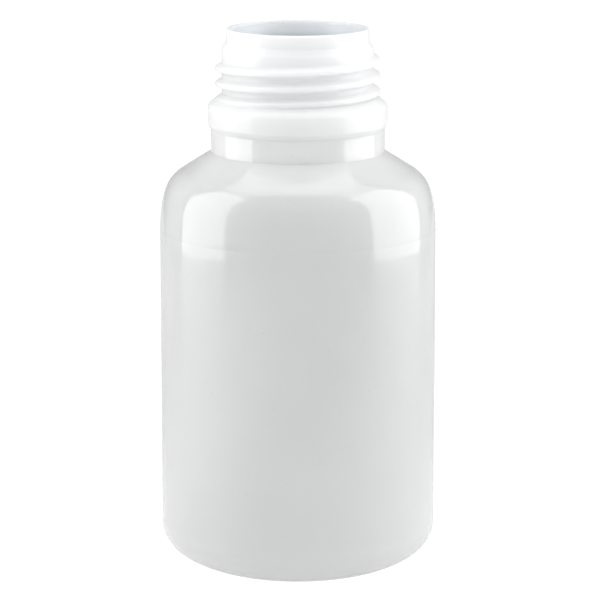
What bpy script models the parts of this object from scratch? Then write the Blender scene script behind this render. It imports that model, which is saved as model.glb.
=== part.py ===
"""Reagent bottle: an open, one-piece, blow-moulded wide-neck bottle in natural polyethylene.

The bottle stands on the XY plane with its axis on Z. Lengths are in metres.
"""

import math

import bmesh
import bpy

MM = 0.001

# Overall size
HEIGHT = 148.0 * MM
BODY_RADIUS = 38.0 * MM
BODY_TOP_RADIUS = 37.8 * MM
WALL = 1.2 * MM
FLOOR = 1.5 * MM

# Base: a flat contact ring round a shallow push-up, with the mould's pinch-off seam across it
RING_INNER_RADIUS = 20.6 * MM
PUSH_UP_RADIUS = 18.0 * MM
PUSH_UP_EDGE = 1.7 * MM
PUSH_UP_CENTRE = 2.6 * MM
SEAM_LENGTH = 31.0 * MM
SEAM_WIDTH = 1.4 * MM
SEAM_DROP = 0.5 * MM

# Heel: two arcs that meet at HEEL_SPLIT below the horizontal
HEEL_UPPER_RADIUS = 8.8 * MM
HEEL_LOWER_RADIUS = 20.0 * MM
HEEL_SPLIT = math.radians(55.0)

# Shoulder: three arcs, each (radius, angle where it ends), then a straight cone up to the neck
SHOULDER_START = 93.2 * MM
SHOULDER_START_TURN = math.radians(1.8)
SHOULDER_ARCS = (
    (62.0 * MM, math.radians(7.5)),
    (24.0 * MM, math.radians(19.5)),
    (9.6 * MM, math.radians(57.8)),
)
SHOULDER_TURN = SHOULDER_ARCS[-1][1]
CREASE_FILLET = 0.8 * MM

# Neck, measured down from the rim
LOWER_NECK_RADIUS = 23.7 * MM
COLLAR_RADIUS = 24.5 * MM
COLLAR_FOOT = 27.3 * MM
COLLAR_WALL_BOTTOM = 25.7 * MM
COLLAR_WALL_TOP = 21.0 * MM
COLLAR_LIP_RADIUS = 22.5 * MM
COLLAR_LIP_TOP = 19.2 * MM
COLLAR_TOP = 18.7 * MM
ROOT_RADIUS = 20.65 * MM
ROOT_TOP = 5.5 * MM
LIP_BAND_RADIUS = 19.55 * MM
LIP_BAND_BOTTOM = 3.5 * MM
RIM_ROUND = 0.9 * MM
RIM_CHAMFER = 0.25 * MM
BORE_RADIUS = 17.9 * MM
BORE_BOTTOM = 17.0 * MM
BORE_FLARE_BOTTOM = 22.6 * MM

# Screw thread: right-handed, height above the root, widths across the ridge
THREAD_CREST_RADIUS = 22.45 * MM
THREAD_PITCH = 4.19 * MM
THREAD_AT_ZERO = 8.65 * MM
THREAD_TOP_STEP = 20
THREAD_BOTTOM_STEP = -134
THREAD_FADE_STEPS = 6
THREAD_BASE_WIDTH = 3.3 * MM
THREAD_CREST_WIDTH = 0.9 * MM
THREAD_ROUND = 0.35 * MM
THREAD_SINK = 0.5 * MM

# Facets round the axis; the thread's ends are counted in them, from +X, so both meshes line up
SEGMENTS = 56


def clear_scene():
    for old in list(bpy.data.objects):
        bpy.data.objects.remove(old, do_unlink=True)


def arc(centre_r, centre_z, radius, start, end, steps):
    """Points (r, z) on an arc, from one angle to another, both in radians."""
    points = []
    for step in range(steps + 1):
        angle = start + (end - start) * step / steps
        points.append((centre_r + radius * math.cos(angle), centre_z + radius * math.sin(angle)))
    return points


def heel_height():
    gap = HEEL_LOWER_RADIUS - HEEL_UPPER_RADIUS
    return HEEL_LOWER_RADIUS - gap * math.sin(HEEL_SPLIT)


def heel_curve(inset, steps):
    """Heel from the contact ring up to the straight wall, moved inwards by inset."""
    top = heel_height()
    gap = HEEL_LOWER_RADIUS - HEEL_UPPER_RADIUS
    centre_r = BODY_RADIUS - HEEL_UPPER_RADIUS
    low_r = centre_r - gap * math.cos(HEEL_SPLIT)
    low_z = top + gap * math.sin(HEEL_SPLIT)
    lower = arc(low_r, low_z, HEEL_LOWER_RADIUS - inset, -math.pi / 2, -HEEL_SPLIT, steps)
    upper = arc(centre_r, top, HEEL_UPPER_RADIUS - inset, -HEEL_SPLIT, 0.0, steps)
    return lower + upper[1:]


def shoulder_curve(inset, neck_radius, steps):
    """Shoulder from the straight wall up to the crease under the neck, moved inwards by inset."""
    radius, height = BODY_TOP_RADIUS, SHOULDER_START
    turn = SHOULDER_START_TURN
    points = []
    for bend, end in SHOULDER_ARCS:
        centre_r = radius - bend * math.cos(turn)
        centre_z = height - bend * math.sin(turn)
        piece = arc(centre_r, centre_z, bend - inset, turn, end, steps)
        points += piece[1:] if points else piece
        radius = centre_r + bend * math.cos(end)
        height = centre_z + bend * math.sin(end)
        turn = end
    # The cone runs at right angles to SHOULDER_TURN until it is a fillet away from the neck
    last_r, last_z = points[-1]
    reach = (last_r - neck_radius) / math.sin(SHOULDER_TURN)
    crease_z = last_z + reach * math.cos(SHOULDER_TURN)
    cut = CREASE_FILLET * math.tan(SHOULDER_TURN / 2)
    points.append((neck_radius + cut * math.sin(SHOULDER_TURN), crease_z - cut * math.cos(SHOULDER_TURN)))
    points.append((neck_radius + 0.12 * cut, crease_z + 0.12 * cut))
    points.append((neck_radius, crease_z + cut))
    return points


def outer_profile():
    """Outside of the bottle from the middle of the base to the rim, as (r, z)."""
    top = HEIGHT
    points = [(0.0, PUSH_UP_CENTRE)]
    for step in range(1, 3):
        radius = PUSH_UP_RADIUS * step / 2
        sag = (PUSH_UP_CENTRE - PUSH_UP_EDGE) * (step / 2) ** 2
        points.append((radius, PUSH_UP_CENTRE - sag))
    points.append((RING_INNER_RADIUS - 0.4 * MM, 0.25 * MM))
    points.append((RING_INNER_RADIUS, 0.0))
    points += heel_curve(0.0, 4)
    points += shoulder_curve(0.0, LOWER_NECK_RADIUS, 3)
    points.append((LOWER_NECK_RADIUS, top - COLLAR_FOOT))
    points.append((COLLAR_RADIUS - 0.1 * MM, top - COLLAR_WALL_BOTTOM - 0.2 * MM))
    points.append((COLLAR_RADIUS, top - COLLAR_WALL_BOTTOM))
    points.append((COLLAR_RADIUS, top - COLLAR_WALL_TOP))
    points.append((COLLAR_RADIUS - 0.15 * MM, top - COLLAR_WALL_TOP + 0.25 * MM))
    points.append((COLLAR_LIP_RADIUS, top - COLLAR_LIP_TOP))
    points.append((COLLAR_LIP_RADIUS - 0.4 * MM, top - COLLAR_LIP_TOP + 0.2 * MM))
    points.append((ROOT_RADIUS + 0.3 * MM, top - COLLAR_TOP - 0.1 * MM))
    points.append((ROOT_RADIUS, top - COLLAR_TOP + 0.2 * MM))
    points.append((ROOT_RADIUS, top - ROOT_TOP))
    points.append((LIP_BAND_RADIUS, top - LIP_BAND_BOTTOM))
    rim_r = LIP_BAND_RADIUS - 0.15 * MM - RIM_ROUND
    points += arc(rim_r, top - RIM_ROUND, RIM_ROUND, 0.0, math.pi / 2, 3)
    return points


def inner_profile():
    """Inside of the bottle from the rim down to the middle of the floor, as (r, z)."""
    top = HEIGHT
    points = [(BORE_RADIUS + RIM_CHAMFER, top)]
    points.append((BORE_RADIUS, top - RIM_CHAMFER))
    points.append((BORE_RADIUS, top - BORE_BOTTOM))
    inner_neck = LOWER_NECK_RADIUS - WALL
    points.append((BORE_RADIUS + 0.5 * MM, top - BORE_BOTTOM - 1.3 * MM))
    points.append((inner_neck - 0.8 * MM, top - BORE_FLARE_BOTTOM + 1.2 * MM))
    points.append((inner_neck, top - BORE_FLARE_BOTTOM))
    points += reversed(shoulder_curve(WALL, inner_neck, 2))
    points += reversed(heel_curve(WALL, 3))
    points.append((RING_INNER_RADIUS - 0.8 * MM, WALL + 0.7 * MM))
    for step in range(2, 0, -1):
        radius = PUSH_UP_RADIUS * step / 2
        sag = (PUSH_UP_CENTRE - PUSH_UP_EDGE) * (step / 2) ** 2
        points.append((radius, PUSH_UP_CENTRE - sag + FLOOR))
    points.append((0.0, PUSH_UP_CENTRE + FLOOR))
    return points


def lathe(name, profile, segments):
    """Turn a profile round Z. A point at r = 0 becomes one vertex."""
    shape = bmesh.new()
    rings = []
    for radius, height in profile:
        if radius == 0.0:
            rings.append([shape.verts.new((0.0, 0.0, height))])
            continue
        ring = []
        for step in range(segments):
            angle = 2 * math.pi * step / segments
            ring.append(shape.verts.new((radius * math.cos(angle), radius * math.sin(angle), height)))
        rings.append(ring)
    for below, above in zip(rings, rings[1:]):
        for step in range(segments):
            after = (step + 1) % segments
            if len(below) == 1:
                shape.faces.new((below[0], above[after], above[step]))
            elif len(above) == 1:
                shape.faces.new((below[step], below[after], above[0]))
            else:
                shape.faces.new((below[step], below[after], above[after], above[step]))
    bmesh.ops.recalc_face_normals(shape, faces=shape.faces)
    return add_object(name, shape)


def add_object(name, shape):
    mesh = bpy.data.meshes.new(name)
    shape.to_mesh(mesh)
    shape.free()
    thing = bpy.data.objects.new(name, mesh)
    bpy.context.scene.collection.objects.link(thing)
    return thing


def thread_section(rise):
    """Cross-section of the ridge as (radius, z); rise 1 is full height and 0 lies under the root."""
    crest = ROOT_RADIUS + (THREAD_CREST_RADIUS - ROOT_RADIUS) * rise - 0.2 * MM * (1.0 - rise)
    foot = ROOT_RADIUS - THREAD_SINK
    depth = THREAD_CREST_RADIUS - ROOT_RADIUS
    flank = (THREAD_BASE_WIDTH - THREAD_CREST_WIDTH) / 2 / depth
    half_crest = THREAD_CREST_WIDTH / 2
    half_foot = half_crest + flank * (crest - foot)
    half_knee = half_crest + flank * THREAD_ROUND
    return [
        (foot, -half_foot),
        (crest - THREAD_ROUND, -half_knee),
        (crest, -half_crest * 0.7),
        (crest, half_crest * 0.7),
        (crest - THREAD_ROUND, half_knee),
        (foot, half_foot),
    ]


def thread_ridge(name):
    """Helical ridge that climbs anticlockwise seen from above, faded out at both ends."""
    shape = bmesh.new()
    rings = []
    for step in range(THREAD_BOTTOM_STEP, THREAD_TOP_STEP + 1):
        to_end = min(step - THREAD_BOTTOM_STEP, THREAD_TOP_STEP - step)
        rise = math.sin(min(1.0, to_end / THREAD_FADE_STEPS) * math.pi / 2)
        middle = HEIGHT - THREAD_AT_ZERO + THREAD_PITCH * step / SEGMENTS
        angle = 2 * math.pi * step / SEGMENTS
        ring = []
        for radius, offset in thread_section(rise):
            flat = (radius * math.cos(angle), radius * math.sin(angle))
            ring.append(shape.verts.new((flat[0], flat[1], middle + offset)))
        rings.append(ring)
    count = len(rings[0])
    for below, above in zip(rings, rings[1:]):
        for side in range(count):
            after = (side + 1) % count
            shape.faces.new((below[side], below[after], above[after], above[side]))
    shape.faces.new(list(reversed(rings[0])))
    shape.faces.new(rings[-1])
    bmesh.ops.recalc_face_normals(shape, faces=shape.faces)
    return add_object(name, shape)


def pinch_off_seam(name):
    """Low bar under the push-up, where the parison was pinched shut, along X."""
    shape = bmesh.new()
    bmesh.ops.create_cube(shape, size=1.0)
    bottom = PUSH_UP_EDGE - 0.1 * MM - SEAM_DROP
    top = PUSH_UP_CENTRE + 0.5 * MM
    bmesh.ops.scale(shape, vec=(SEAM_LENGTH, SEAM_WIDTH, top - bottom), verts=shape.verts)
    bmesh.ops.translate(shape, vec=(0.0, 0.0, (top + bottom) / 2), verts=shape.verts)
    return add_object(name, shape)


def natural_polyethylene():
    material = bpy.data.materials.new("natural_polyethylene")
    material.use_nodes = True
    shader = material.node_tree.nodes["Principled BSDF"]
    shader.inputs["Base Color"].default_value = (0.86, 0.87, 0.87, 1.0)
    shader.inputs["Roughness"].default_value = 0.32
    shader.inputs["Metallic"].default_value = 0.0
    shader.inputs["IOR"].default_value = 1.51
    shader.inputs["Transmission Weight"].default_value = 0.35
    material.diffuse_color = (0.86, 0.87, 0.87, 1.0)
    return material


def join_to(body, extra):
    """Union a helper shape into the body with a live Boolean."""
    extra.hide_render = True
    extra.display_type = "WIRE"
    union = body.modifiers.new("join_" + extra.name, "BOOLEAN")
    union.operation = "UNION"
    union.solver = "EXACT"
    union.object = extra


clear_scene()
bottle = lathe("bottle", outer_profile() + inner_profile(), SEGMENTS)
join_to(bottle, thread_ridge("thread_ridge_guide"))
join_to(bottle, pinch_off_seam("pinch_off_seam_guide"))
bottle.data.materials.append(natural_polyethylene())
bottle.data.shade_smooth()
bottle.data.set_sharp_from_angle(angle=math.radians(35.0))
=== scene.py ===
# Reagent bottle in milky natural polyethylene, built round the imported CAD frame.
# Shapes are worked out in millimetres and turned into metres when a mesh is made.
# +Z is up, the bottle stands on z = 0 and its axis is the Z axis.
import math

import bpy
import numpy as np
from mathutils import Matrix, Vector


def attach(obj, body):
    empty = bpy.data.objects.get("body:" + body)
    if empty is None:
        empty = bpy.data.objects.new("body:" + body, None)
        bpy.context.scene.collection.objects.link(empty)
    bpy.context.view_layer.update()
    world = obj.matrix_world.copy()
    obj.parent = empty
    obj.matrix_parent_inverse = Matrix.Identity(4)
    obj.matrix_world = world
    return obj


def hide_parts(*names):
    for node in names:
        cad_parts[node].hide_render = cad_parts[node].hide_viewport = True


mm = 0.001
slack = 0.01                       # millimetres, for comparing heights

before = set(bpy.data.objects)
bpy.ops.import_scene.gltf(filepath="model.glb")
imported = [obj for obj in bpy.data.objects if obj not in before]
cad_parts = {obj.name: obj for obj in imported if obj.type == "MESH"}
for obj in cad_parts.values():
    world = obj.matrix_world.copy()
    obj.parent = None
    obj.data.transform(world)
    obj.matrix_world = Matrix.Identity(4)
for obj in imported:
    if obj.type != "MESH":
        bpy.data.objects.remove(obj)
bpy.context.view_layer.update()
print("frame loaded with", sorted(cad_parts))


# Outline helpers: a path is a list of (radius, height)

def arcPath(centreR, centreZ, radius, start, end, steps):
    angles = np.radians(np.linspace(start, end, steps + 1))
    return [(centreR + radius * math.cos(a), centreZ + radius * math.sin(a)) for a in angles]


def roundedPath(corners, steps=6):
    # corners: (radius, height, fillet); the first and last keep their place
    path = [corners[0][:2]]
    for before, corner, after in zip(corners, corners[1:], corners[2:]):
        here = Vector(corner[:2])
        toBefore = Vector(before[:2]) - here
        toAfter = Vector(after[:2]) - here
        turn = math.pi - toBefore.angle(toAfter)
        if corner[2] <= 0.0 or turn < 0.01:
            path.append(corner[:2])
            continue
        cut = corner[2] * math.tan(turn / 2)
        cut = min(cut, 0.48 * toBefore.length, 0.48 * toAfter.length)    # neighbours never meet
        start = here + toBefore.normalized() * cut
        end = here + toAfter.normalized() * cut
        for step in range(steps + 1):
            u = step / steps
            point = start * (1 - u) ** 2 + here * 2 * u * (1 - u) + end * u ** 2
            path.append((point.x, point.y))
    path.append(corners[-1][:2])
    return path


def subdividedPath(path, stepAt):
    # adds points so that no stretch is longer than stepAt(height)
    result = [path[0]]
    for (r0, z0), (r1, z1) in zip(path, path[1:]):
        length = math.hypot(r1 - r0, z1 - z0)
        if length < 1e-6:
            continue
        count = max(1, math.ceil(length / stepAt((z0 + z1) / 2)))
        for k in range(1, count + 1):
            u = k / count
            result.append((r0 + (r1 - r0) * u, z0 + (z1 - z0) * u))
    return result


def fadeIn(distance, length):
    # 0 up to the start, then a straight climb to 1 over length
    return np.clip(distance / length, 0.0, 1.0)


# The bottle's own sizes, in millimetres and degrees

bottleForm = {
    "height": 148.0,
    "bodyRadius": 38.0,
    "bodyTopRadius": 37.8,
    "wall": 1.15,
    "floor": 1.5,

    # base: contact ring, push-up and the dip of the floor inside the ring
    "ringInner": 20.6,
    "ringLead": 0.1,
    "ringLand": 1.6,
    "ringFillet": 0.9,
    "pushUpRadius": 18.0,
    "pushUpEdge": 1.7,
    "pushUpCentre": 2.6,
    "pushUpFillet": 1.2,
    "domeShare": 0.75,             # height of the push-up half way out, between edge and centre
    "domeFillet": 30.0,
    "dipInset": 0.4,
    "dipRise": 0.35,
    "dipFillet": 2.0,
    "floorFillet": 3.0,

    # heel and shoulder
    "heelUpper": 8.8,
    "heelLower": 20.0,
    "heelSplit": 55.0,
    "shoulderStart": 93.2,
    "shoulderArcs": ((62.0, 1.8, 7.5), (24.0, 7.5, 19.5), (9.6, 19.5, 57.8)),   # radius, from, to

    # neck, from the crease up: each corner is (depth under the rim, fillet)
    "neckRadius": 23.7,
    "collarRadius": 24.5,
    "lipRadius": 22.3,
    "rootRadius": 20.65,
    "bandRadius": 19.55,
    "bandDraft": 0.12,
    "boreRadius": 17.95,
    "creaseFillet": 0.45,
    "collarFoot": (27.35, 0.6),
    "collarLow": (25.75, 0.7),
    "collarHigh": (20.7, 1.7),
    "collarLip": (18.95, 0.6),
    "rootLow": (17.9, 0.9),
    "rootHigh": (5.5, 0.8),
    "bandLow": (3.6, 0.8),
    "rimOutside": (0.0, 0.95),
    "rimInside": (0.0, 0.3),
    "boreMeeting": (1.0, 0.0),     # where the outside outline ends and the inside one starts
    "boreLow": (17.2, 2.0),
    "flareMiddle": (22.6, 2.0),
    "flareLow": (26.0, 2.0),
    "flareInset": 0.4,
    "insideCreaseFillet": 1.2,

    # fine marks of the mould
    "witnessGroove": 0.03,
    "witnessHalf": 0.05,
    "witnessReach": 0.2,
    "seamLength": 31.0,            # pinch-off seam under the base, along X
    "seamWidth": 1.4,
    "seamDrop": 0.5,
    "seamSkirt": 1.5,              # foot and slope of its sides, in half widths
    "seamSlope": 0.8,
    "seamEnd": 1.2,
    "partingRise": 0.05,           # parting line of the mould halves, up both X sides
    "partingFrom": 4.0,
    "partingFade": 8.0,
    "partingUnderRim": 2.0,

    # steps of the mesh
    "around": 232,
    "heelSteps": (12, 8),          # outside, inside
    "shoulderSteps": (8, 6),
    "filletSteps": (7, 6),
    "threadRow": 0.2,
    "threadRows": (20.0, 3.0),     # fine rows from and to, under the rim
    "plainRow": 3.2,
    "baseRow": 0.8,
}

threadForm = {
    "crestRadius": 22.45,
    "pitch": 4.19,
    "belowRimAtX": 8.65,           # depth of a crest under the rim at +X
    "start": -925.0,               # lower end, degrees round from +X
    "end": 128.0,                  # upper end
    "fade": 34.0,
    "halfCrest": 0.42,
    "halfBase": 1.55,
    "straightFlank": 0.45,         # the rest of the flank is an S curve
    "fillet": 0.5,
    "zone": (21.0, 2.0),           # the ridge is blended in from and to, under the rim
    "leastRadius": 18.95,          # keeps it off the bore
    "leastRise": 0.002,
}

# A blown wall is never quite round or even; a wave is (depth, lobes, start, twist with height)
blownForm = {
    "shrink": 0.08,
    "strength": 0.6,
    "ovalWave": (0.035, 2, 0.9, 0.004),
    "threeLobeWave": (0.022, 3, -0.5, 0.03),
    "waistDepth": 0.016,
    "waistStep": 0.11,
    "waistLean": 1.7,
    "waistStart": 0.4,
    "fadeTop": 112.0,
    "fadeTopLength": 20.0,
    "fadeFoot": 2.0,
    "fadeFootLength": 12.0,
    "leastRadius": 25.0,
    "insideWaves": ((0.07, 2, 0.0, 0.05), (0.04, 5, 1.1, -0.09)),
    "insideTop": 108.0,
    "insideLeastRadius": 30.0,
}


def heelPath(form, inset, steps):
    split = form["heelSplit"]
    gap = form["heelLower"] - form["heelUpper"]
    top = form["heelLower"] - gap * math.sin(math.radians(split))
    centreR = form["bodyRadius"] - form["heelUpper"]
    lowR = centreR - gap * math.cos(math.radians(split))
    lowZ = top + gap * math.sin(math.radians(split))
    lower = arcPath(lowR, lowZ, form["heelLower"] - inset, -90.0, -split, steps)
    upper = arcPath(centreR, top, form["heelUpper"] - inset, -split, 0.0, steps)
    return lower + upper[1:]


def shoulderPath(form, inset, steps):
    radius, height = form["bodyTopRadius"], form["shoulderStart"]
    path = []
    for bend, start, end in form["shoulderArcs"]:
        centreR = radius - bend * math.cos(math.radians(start))
        centreZ = height - bend * math.sin(math.radians(start))
        piece = arcPath(centreR, centreZ, bend - inset, start, end, steps)
        path += piece[1:] if path else piece
        radius = centreR + bend * math.cos(math.radians(end))
        height = centreZ + bend * math.sin(math.radians(end))
    return path


def creaseHeight(form, neckRadius, inset):
    lastR, lastZ = shoulderPath(form, inset, 1)[-1]
    turn = math.radians(form["shoulderArcs"][-1][2])
    return lastZ + (lastR - neckRadius) / math.tan(turn)


def neckCorner(form, radius, name):
    depth, fillet = form[name]
    return (radius, form["height"] - depth, fillet)


def outerPath(form):
    share = form["domeShare"]
    dome = form["pushUpCentre"] * share + form["pushUpEdge"] * (1.0 - share)
    base = roundedPath([
        (0.0, form["pushUpCentre"], 0),
        (form["pushUpRadius"] / 2, dome, form["domeFillet"]),
        (form["pushUpRadius"], form["pushUpEdge"], form["pushUpFillet"]),
        (form["ringInner"] + form["ringLead"], 0.0, form["ringFillet"]),
        (form["ringInner"] + form["ringLand"], 0.0, 0),
    ])
    wall = heelPath(form, 0.0, form["heelSteps"][0])
    shoulder = shoulderPath(form, 0.0, form["shoulderSteps"][0])
    start = form["shoulderStart"]
    groove = form["bodyTopRadius"] - form["witnessGroove"]
    witness = [
        (form["bodyTopRadius"], start - form["witnessReach"]),
        (groove, start - form["witnessHalf"]),
        (groove, start + form["witnessHalf"]),
    ]
    neck = form["neckRadius"]
    upper = roundedPath([
        shoulder[-1] + (0,),
        (neck, creaseHeight(form, neck, 0.0), form["creaseFillet"]),
        neckCorner(form, neck, "collarFoot"),
        neckCorner(form, form["collarRadius"], "collarLow"),
        neckCorner(form, form["collarRadius"], "collarHigh"),
        neckCorner(form, form["lipRadius"], "collarLip"),
        neckCorner(form, form["rootRadius"], "rootLow"),
        neckCorner(form, form["rootRadius"], "rootHigh"),
        neckCorner(form, form["bandRadius"], "bandLow"),
        neckCorner(form, form["bandRadius"] - form["bandDraft"], "rimOutside"),
        neckCorner(form, form["boreRadius"], "rimInside"),
        neckCorner(form, form["boreRadius"], "boreMeeting"),
    ], form["filletSteps"][0])
    return base[:-1] + wall + witness + shoulder[1:] + upper[1:]


def innerPath(form):
    wall = form["wall"]
    neck = form["neckRadius"] - wall
    shoulder = shoulderPath(form, wall, form["shoulderSteps"][1])
    upper = roundedPath([
        neckCorner(form, form["boreRadius"], "boreMeeting"),
        neckCorner(form, form["boreRadius"], "boreLow"),
        neckCorner(form, neck - form["flareInset"], "flareMiddle"),
        neckCorner(form, neck, "flareLow"),
        (neck, creaseHeight(form, neck, wall), form["insideCreaseFillet"]),
        shoulder[-1] + (0,),
    ], form["filletSteps"][1])
    heel = heelPath(form, wall, form["heelSteps"][1])
    floor = roundedPath([
        heel[0] + (0,),
        (form["ringInner"] - form["dipInset"], wall + form["dipRise"], form["dipFillet"]),
        (form["pushUpRadius"], form["pushUpEdge"] + form["floor"], form["floorFillet"]),
        (0.0, form["pushUpCentre"] + form["floor"], 0),
    ])
    return upper + shoulder[::-1][1:] + heel[::-1] + floor[1:]


def threadRise(form, rim, root, heights, angles):
    # how far the ridge stands out of the root at each row and column, in millimetres
    full = form["crestRadius"] - root
    rise = np.zeros((len(heights), len(angles)))
    firstTurn = math.floor(form["start"] / 360.0)
    lastTurn = math.floor(form["end"] / 360.0)
    for turn in range(firstTurn, lastTurn + 1):
        around = np.degrees(angles) + 360.0 * turn
        crest = rim - form["belowRimAtX"] + form["pitch"] * around / 360.0
        toEnd = np.minimum(around - form["start"], form["end"] - around)
        fade = np.sin(fadeIn(toEnd, form["fade"]) * math.pi / 2)
        away = np.abs(heights[:, None] - crest[None, :])
        slope = fadeIn(form["halfBase"] - away, form["halfBase"] - form["halfCrest"])
        soft = slope * slope * (3.0 - 2.0 * slope)
        flank = form["straightFlank"] * slope + (1.0 - form["straightFlank"]) * soft
        rise = np.maximum(rise, full * flank * fade[None, :])
    return rise


def softMaximum(a, b, blend):
    # the larger of the two, with a fillet of about blend where they meet
    h = np.clip(0.5 + 0.5 * (a - b) / blend, 0.0, 1.0)
    return b + (a - b) * h + blend * h * (1.0 - h) * 0.5


def wave(plan, heights, angles):
    depth, lobes, start, twist = plan
    return depth * np.sin(lobes * angles[None, :] + start + twist * heights[:, None])


def wallWander(form, heights, angles):
    # a few hundredths of a millimetre, fading out in the neck and at the foot
    share = fadeIn(form["fadeTop"] - heights, form["fadeTopLength"])
    share = share * fadeIn(heights - form["fadeFoot"], form["fadeFootLength"])
    lean = form["waistLean"] * np.sin(angles[None, :] + form["waistStart"])
    wander = wave(form["ovalWave"], heights, angles)
    wander = wander + wave(form["threeLobeWave"], heights, angles)
    wander = wander + form["waistDepth"] * np.sin(form["waistStep"] * heights[:, None] + lean)
    return (form["strength"] * wander - form["shrink"]) * share[:, None]


def partingLine(form, heights, angles):
    # a hair line on the column of points nearest the X axis, on each side
    onLine = np.abs(np.sin(angles)) < 0.5 * math.sin(2 * math.pi / form["around"])
    share = fadeIn(heights - form["partingFrom"], form["partingFade"])
    share = share * (heights < form["height"] - form["partingUnderRim"])
    return form["partingRise"] * share[:, None] * onLine[None, :]


def seamDrop(form, ringsR, angles):
    # how far the pinch-off seam hangs below the push-up, in millimetres
    alongX = np.abs(ringsR * np.cos(angles)[None, :])
    acrossY = np.abs(ringsR * np.sin(angles)[None, :])
    half = form["seamWidth"] / 2
    side = fadeIn(half * form["seamSkirt"] - acrossY, half * form["seamSlope"])
    end = fadeIn(form["seamLength"] / 2 - alongX, form["seamEnd"])
    return form["seamDrop"] * side * side * (3.0 - 2.0 * side) * end


def bottleGrid(form, thread, blown):
    # rings of points from the middle of the base, up outside, over the rim and down inside
    rim = form["height"]

    def rowStep(z):
        if z < form["pushUpCentre"] + slack:
            return form["baseRow"]
        low, high = form["threadRows"]
        return form["threadRow"] if rim - low < z < rim - high else form["plainRow"]

    outer = np.array(subdividedPath(outerPath(form), rowStep))
    inner = np.array(subdividedPath(innerPath(form), lambda z: form["plainRow"]))
    outsideR, outsideZ = outer[:, 0], outer[:, 1]
    insideR, insideZ = inner[:, 0], inner[:, 1]
    angles = np.linspace(0.0, 2 * math.pi, form["around"], endpoint=False)

    # the thread, blended into the outline
    outerR = np.repeat(outsideR[:, None], len(angles), axis=1)
    rise = threadRise(thread, rim, form["rootRadius"], outsideZ, angles)
    low, high = thread["zone"]
    inZone = (outsideZ > rim - low) & (outsideZ < rim - high)
    inZone &= outsideR > thread["leastRadius"]
    blended = softMaximum(form["rootRadius"] + rise, outerR, thread["fillet"])
    active = inZone[:, None] & (rise > thread["leastRise"])
    outerR = np.where(active, np.maximum(outerR, blended), outerR)

    # unroundness, parting line and uneven wall
    wide = (outsideR > blown["leastRadius"])[:, None]
    marked = (outsideR > form["bandRadius"])[:, None]
    outerR = outerR + wallWander(blown, outsideZ, angles) * wide
    outerR = outerR + partingLine(form, outsideZ, angles) * marked
    innerR = np.repeat(insideR[:, None], len(angles), axis=1)
    thin = sum(wave(plan, insideZ, angles) for plan in blown["insideWaves"])
    inWall = (insideZ < blown["insideTop"]) & (insideR > blown["insideLeastRadius"])
    innerR = innerR + thin * inWall[:, None]
    return outsideZ, outerR, insideZ, innerR, angles


def buildBottle(form, thread, blown):
    outerZ, outerR, innerZ, innerR, angles = bottleGrid(form, thread, blown)
    ringsR = np.vstack([outerR[1:], innerR[:-1]])
    ringsZ = np.concatenate([outerZ[1:], innerZ[:-1]])
    count = len(angles)
    points = np.empty((len(ringsZ), count, 3))
    points[:, :, 0] = ringsR * np.cos(angles)[None, :]
    points[:, :, 1] = ringsR * np.sin(angles)[None, :]
    under = (ringsR < form["pushUpRadius"]) & (ringsZ < form["pushUpCentre"] + slack)[:, None]
    points[:, :, 2] = ringsZ[:, None] - seamDrop(form, ringsR, angles) * under
    middle = outerZ[0] - form["seamDrop"]
    places = np.vstack([points.reshape(-1, 3), [[0, 0, middle]], [[0, 0, innerZ[-1]]]]) * mm
    rows = len(ringsZ)
    index = np.arange(rows * count).reshape(rows, count)
    after = np.roll(index, -1, axis=1)
    quads = np.stack([index[:-1], after[:-1], after[1:], index[1:]], axis=-1).reshape(-1, 4)
    faces = quads.tolist()
    bottom, inside = rows * count, rows * count + 1
    faces += [(bottom, int(after[0][k]), int(index[0][k])) for k in range(count)]
    faces += [(int(index[-1][k]), int(after[-1][k]), inside) for k in range(count)]
    mesh = bpy.data.meshes.new("bottleShell")
    mesh.from_pydata(places.tolist(), [], faces)
    mesh.validate()
    mesh.shade_smooth()
    shell = bpy.data.objects.new("bottle_shell", mesh)
    bpy.context.scene.collection.objects.link(shell)
    return shell


bottle = buildBottle(bottleForm, threadForm, blownForm)
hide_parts("bottle")
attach(bottle, "root")
print("bottle shell:", len(bottle.data.polygons), "faces")


# Milky natural polyethylene: the thin wall lets more light straight through than the thick neck

milkyLook = {
    "bodyColour": (0.845, 0.853, 0.863, 1.0),
    "neckColour": (0.85, 0.855, 0.86, 1.0),
    # painted shade: the inside of the bore is coloured darker and cooler to stand in for the shade
    # down the mouth
    "paintedBoreShade": (0.69, 0.72, 0.75, 1.0),
    "boreRadius": 18.6 * mm,
    "boreEdge": 0.6 * mm,
    "neckFrom": 106 * mm,
    "neckTo": 116 * mm,
    "clearBody": 0.3,
    "clearNeck": 0.12,

    # clouds and flecks: sizes are cells to the metre
    "cloudSize": 26.0,
    "cloudDetail": 5.0,
    "cloudRoughness": 0.6,
    "cloudRange": (0.3, 0.7),
    "cloudDepth": 0.025,
    "fleckSize": 140.0,
    "fleckShare": 0.06,
    "fleckDepth": 0.14,

    # surface
    "roughness": 0.42,
    "satinSpread": 0.04,
    "rippleSize": 90.0,
    "rippleDetail": 2.0,
    "rippleDepth": 0.03 * mm,
    "ior": 1.51,
    "gloss": 0.2,
    "coatBody": 1.0,
    "coatNeck": 0.4,
    "coatFrom": 119 * mm,
    "coatTo": 123 * mm,
    "coatIor": 1.8,
    "coatRoughness": 0.08,

    # light scattered inside the plastic
    "scatter": 1.0,
    "scatterReach": (1.0, 1.0, 1.0),
    "scatterDepth": 4 * mm,
}


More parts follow.
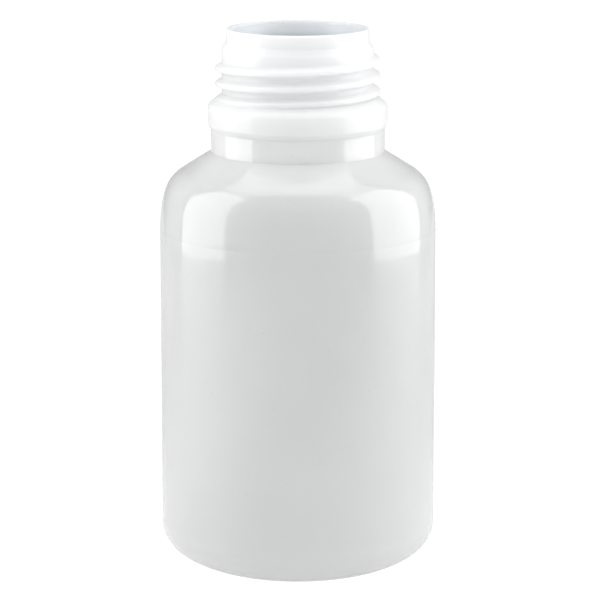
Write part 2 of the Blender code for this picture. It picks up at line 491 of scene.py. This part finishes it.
def rampNode(tree, value, start, end, low, high):
    # a smooth step from low to high while value goes from start to end
    ramp = tree.nodes.new("ShaderNodeMapRange")
    ramp.interpolation_type = "SMOOTHSTEP"
    for socket, number in zip(("From Min", "From Max", "To Min", "To Max"), (start, end, low, high)):
        ramp.inputs[socket].default_value = number
    tree.links.new(value, ramp.inputs["Value"])
    return ramp.outputs["Result"]


def colourMix(tree, share, first, second):
    # first and second are colours or colour sockets
    mix = tree.nodes.new("ShaderNodeMix")
    mix.data_type = "RGBA"
    tree.links.new(share, mix.inputs["Factor"])
    for socket, colour in ((mix.inputs[6], first), (mix.inputs[7], second)):    # its colour sockets
        if isinstance(colour, tuple):
            socket.default_value = colour
        else:
            tree.links.new(colour, socket)
    return mix.outputs[2]


def lengthNode(tree, vector):
    length = tree.nodes.new("ShaderNodeVectorMath")
    length.operation = "LENGTH"
    tree.links.new(vector, length.inputs[0])
    return length.outputs["Value"]


def mathNode(tree, operation, first, second):
    result = tree.nodes.new("ShaderNodeMath")
    result.operation = operation
    tree.links.new(first, result.inputs[0])
    tree.links.new(second, result.inputs[1])
    return result.outputs["Value"]


def milkyPolyethylene(look):
    material = bpy.data.materials.new("milkyPolyethylene")
    material.use_nodes = True
    tree = material.node_tree
    shader = tree.nodes["Principled BSDF"]
    shader.inputs["IOR"].default_value = look["ior"]
    shader.inputs["Coat IOR"].default_value = look["coatIor"]
    shader.inputs["Coat Roughness"].default_value = look["coatRoughness"]
    shader.inputs["Specular IOR Level"].default_value = look["gloss"]
    shader.inputs["Subsurface Weight"].default_value = look["scatter"]
    shader.inputs["Subsurface Radius"].default_value = look["scatterReach"]
    shader.inputs["Subsurface Scale"].default_value = look["scatterDepth"]
    place = tree.nodes.new("ShaderNodeTexCoord").outputs["Object"]
    axes = tree.nodes.new("ShaderNodeSeparateXYZ")
    tree.links.new(place, axes.inputs["Vector"])
    height = axes.outputs["Z"]
    neckFrom, neckTo = look["neckFrom"], look["neckTo"]
    clear = rampNode(tree, height, neckFrom, neckTo, look["clearBody"], look["clearNeck"])
    tree.links.new(clear, shader.inputs["Transmission Weight"])
    coatFrom, coatTo = look["coatFrom"], look["coatTo"]
    coat = rampNode(tree, height, coatFrom, coatTo, look["coatBody"], look["coatNeck"])
    tree.links.new(coat, shader.inputs["Coat Weight"])

    # the thick neck is whiter than the blown wall; inside the bore the colour is darker and cooler,
    # a painted shade for the inside of the mouth
    flat = tree.nodes.new("ShaderNodeCombineXYZ")
    tree.links.new(axes.outputs["X"], flat.inputs["X"])
    tree.links.new(axes.outputs["Y"], flat.inputs["Y"])
    radius = lengthNode(tree, flat.outputs["Vector"])
    inNeck = rampNode(tree, height, neckFrom, neckTo, 0.0, 1.0)
    bore = look["boreRadius"]
    outside = rampNode(tree, radius, bore, bore + look["boreEdge"], 0.0, 1.0)
    neck = colourMix(tree, outside, look["paintedBoreShade"], look["neckColour"])
    colour = colourMix(tree, inNeck, look["bodyColour"], neck)

    # faint clouds in the wall, and small flecks
    cloud = tree.nodes.new("ShaderNodeTexNoise")
    cloud.inputs["Scale"].default_value = look["cloudSize"]
    cloud.inputs["Detail"].default_value = look["cloudDetail"]
    cloud.inputs["Roughness"].default_value = look["cloudRoughness"]
    tree.links.new(place, cloud.inputs["Vector"])
    thin, thick = look["cloudRange"]
    shade = rampNode(tree, cloud.outputs["Fac"], thin, thick, 1.0 - look["cloudDepth"], 1.0)
    fleck = tree.nodes.new("ShaderNodeTexVoronoi")
    fleck.inputs["Scale"].default_value = look["fleckSize"]
    tree.links.new(place, fleck.inputs["Vector"])
    dark = 1.0 - look["fleckDepth"]
    speck = rampNode(tree, fleck.outputs["Distance"], 0.0, look["fleckShare"], dark, 1.0)
    both = mathNode(tree, "MULTIPLY", shade, speck)
    tint = tree.nodes.new("ShaderNodeVectorMath")
    tint.operation = "SCALE"
    tree.links.new(colour, tint.inputs[0])
    tree.links.new(both, tint.inputs["Scale"])
    tree.links.new(tint.outputs["Vector"], shader.inputs["Base Color"])

    # satin that varies a little, and the slow ripple of a blown surface
    smooth = look["roughness"] - look["satinSpread"]
    dull = look["roughness"] + look["satinSpread"]
    satin = rampNode(tree, cloud.outputs["Fac"], thin, thick, smooth, dull)
    tree.links.new(satin, shader.inputs["Roughness"])
    ripple = tree.nodes.new("ShaderNodeTexNoise")
    ripple.inputs["Scale"].default_value = look["rippleSize"]
    ripple.inputs["Detail"].default_value = look["rippleDetail"]
    tree.links.new(place, ripple.inputs["Vector"])
    bump = tree.nodes.new("ShaderNodeBump")
    bump.inputs["Distance"].default_value = look["rippleDepth"]
    tree.links.new(ripple.outputs["Fac"], bump.inputs["Height"])
    tree.links.new(bump.outputs["Normal"], shader.inputs["Normal"])
    tree.links.new(bump.outputs["Normal"], shader.inputs["Coat Normal"])
    return material


bottle.data.materials.append(milkyPolyethylene(milkyLook))
print("material ready")


# Studio: a glowing table top, two tall side panels, a top panel and an even white room

tablePlan = {
    "left": -0.36,
    "right": 0.34,
    "front": -2.0,
    "back": 2.5,
    "colour": (0.1, 0.1, 0.1, 1.0),
    "roughness": 0.6,
    "gloss": 0.2,
    "glow": 1.0,                   # as the camera sees it
    "light": 0.84,                 # as it lights the bottle
    "lightBehind": 0.62,
    "behindFrom": 0.0,
    "behindTo": 0.16,
    "paintedShadeLight": 0.60,            # painted contact shadow: the table's light round the bottle's foot, as a share
    "paintedShadeFrom": 0.026,
    "paintedShadeTo": 0.040,
}


def buildTable(plan):
    left, right = plan["left"], plan["right"]
    front, back = plan["front"], plan["back"]
    corners = [(left, front, 0), (right, front, 0), (right, back, 0), (left, back, 0)]
    mesh = bpy.data.meshes.new("studioTable")
    mesh.from_pydata(corners, [], [(0, 1, 2, 3)])
    table = bpy.data.objects.new("studio_table", mesh)
    bpy.context.scene.collection.objects.link(table)
    material = bpy.data.materials.new("lightTable")
    material.use_nodes = True
    tree = material.node_tree
    shader = tree.nodes["Principled BSDF"]
    shader.inputs["Base Color"].default_value = plan["colour"]
    shader.inputs["Roughness"].default_value = plan["roughness"]
    shader.inputs["Specular IOR Level"].default_value = plan["gloss"]
    shader.inputs["Emission Color"].default_value = (1, 1, 1, 1)
    path = tree.nodes.new("ShaderNodeLightPath")
    glow = tree.nodes.new("ShaderNodeMapRange")
    glow.inputs["To Max"].default_value = plan["glow"]
    place = tree.nodes.new("ShaderNodeTexCoord").outputs["Object"]
    axes = tree.nodes.new("ShaderNodeSeparateXYZ")
    tree.links.new(place, axes.inputs["Vector"])
    start, end = plan["behindFrom"], plan["behindTo"]
    along = rampNode(tree, axes.outputs["Y"], start, end, plan["light"], plan["lightBehind"])
    # painted contact shadow: the glow that lights the bottle is dimmed round its foot
    away = lengthNode(tree, place)
    shade = rampNode(tree, away, plan["paintedShadeFrom"], plan["paintedShadeTo"], plan["paintedShadeLight"], 1.0)
    tree.links.new(along, shade.node.inputs["To Max"])
    tree.links.new(shade, glow.inputs["To Min"])
    tree.links.new(path.outputs["Is Camera Ray"], glow.inputs["Value"])
    tree.links.new(glow.outputs["Result"], shader.inputs["Emission Strength"])
    table.data.materials.append(material)
    return table


buildTable(tablePlan)


# brightness is the panel's own, added to the room's
panels = {
    "leftPanel": {
        "place": (-0.60, -0.0675, 0.488),
        "facing": (1, 0, 0),
        "size": (0.535, 1.024),
        "brightness": 1.27,
    },
    "rightPanel": {
        "place": (0.60, 0.010, 0.488),
        "facing": (-1, 0, 0),
        "size": (0.64, 1.024),
        "brightness": 1.28,
    },
    "topPanel": {
        "place": (0.0, 0.20, 1.20),
        "facing": (0, 0, -1),
        "size": (1.3, 0.7),
        "brightness": 0.66,
    },
    "leftFoot": {
        "place": (-0.60, -0.0675, -0.107),
        "facing": (1, 0, 0),
        "size": (0.535, 0.166),
        "brightness": 0.40,
    },
    "rightFoot": {
        "place": (0.60, 0.010, -0.107),
        "facing": (-1, 0, 0),
        "size": (0.64, 0.166),
        "brightness": 0.35,
    },
}
panelWatts = 4.0                   # to the square metre at brightness 1


def addPanel(name, plan):
    width, height = plan["size"]
    light = bpy.data.lights.new(name, "AREA")
    light.shape = "RECTANGLE"
    light.size = width
    light.size_y = height
    light.energy = plan["brightness"] * width * height * panelWatts
    lamp = bpy.data.objects.new(name, light)
    lamp.location = plan["place"]
    lamp.rotation_euler = Vector(plan["facing"]).to_track_quat("-Z", "Y").to_euler()
    lamp.visible_camera = False
    bpy.context.scene.collection.objects.link(lamp)


for panelName, panelPlan in panels.items():
    addPanel(panelName, panelPlan)


# the room: limits are along a unit direction, Y to the back and Z up
roomPlan = {
    "white": 1.0,                  # what the camera sees behind the bottle
    "front": 1.03,                 # the rest is what lights the bottle
    "back": 0.80,
    "backFrom": -0.9,
    "backTo": 0.3,
    "behind": 0.45,                # straight behind, which the bottle's edges mirror
    "behindFrom": 0.60,
    "behindTo": 0.92,
    "below": 0.68,                 # under the table top
    "belowFrom": -0.25,
    "belowTo": 0.0,
}


def buildRoom(plan):
    world = bpy.data.worlds.new("studioRoom")
    bpy.context.scene.world = world
    world.use_nodes = True
    tree = world.node_tree
    tree.nodes.clear()
    direction = tree.nodes.new("ShaderNodeTexCoord")
    axes = tree.nodes.new("ShaderNodeSeparateXYZ")
    tree.links.new(direction.outputs["Generated"], axes.inputs["Vector"])
    toBack, up = axes.outputs["Y"], axes.outputs["Z"]
    around = rampNode(tree, toBack, plan["backFrom"], plan["backTo"], plan["front"], plan["back"])
    height = rampNode(tree, up, plan["belowFrom"], plan["belowTo"], plan["below"], 1.0)
    behind = rampNode(tree, toBack, plan["behindFrom"], plan["behindTo"], 1.0, plan["behind"])
    level = mathNode(tree, "MINIMUM", around, height)
    level = mathNode(tree, "MINIMUM", level, behind)
    light = tree.nodes.new("ShaderNodeBackground")
    tree.links.new(level, light.inputs["Strength"])
    white = tree.nodes.new("ShaderNodeBackground")
    white.inputs["Strength"].default_value = plan["white"]
    for background in (light, white):
        background.inputs["Color"].default_value = (1, 1, 1, 1)
    path = tree.nodes.new("ShaderNodeLightPath")
    mix = tree.nodes.new("ShaderNodeMixShader")
    out = tree.nodes.new("ShaderNodeOutputWorld")
    tree.links.new(path.outputs["Is Camera Ray"], mix.inputs[0])
    tree.links.new(light.outputs[0], mix.inputs[1])
    tree.links.new(white.outputs[0], mix.inputs[2])
    tree.links.new(mix.outputs[0], out.inputs["Surface"])


buildRoom(roomPlan)

scene = bpy.context.scene
scene.view_settings.view_transform = "Standard"
scene.view_settings.look = "None"
print("studio ready")


# Camera: a long lens a little above the bottle

cameraPlan = {
    "distance": 0.760,
    "elevation": 12.2,
    "aimHeight": 0.0728,
    "aimSide": 0.00058,
    "focalLength": 165.4,
    "sensorWidth": 36.0,
    "roll": 0.03,
    "nearest": 0.01,
    "farthest": 20.0,
}


def buildCamera(plan):
    camera = bpy.data.cameras.new("studioCamera")
    camera.lens = plan["focalLength"]
    camera.sensor_width = plan["sensorWidth"]
    camera.clip_start = plan["nearest"]
    camera.clip_end = plan["farthest"]
    holder = bpy.data.objects.new("studioCamera", camera)
    tilt = math.radians(plan["elevation"])
    aim = Vector((plan["aimSide"], 0.0, plan["aimHeight"]))
    back = Vector((0.0, -math.cos(tilt), math.sin(tilt)))
    holder.location = aim + back * plan["distance"]
    holder.rotation_euler = (math.radians(90.0 - plan["elevation"]), 0.0, 0.0)
    holder.rotation_euler.rotate_axis("Z", math.radians(-plan["roll"]))
    bpy.context.scene.collection.objects.link(holder)
    bpy.context.scene.camera = holder


buildCamera(cameraPlan)
print("camera ready")
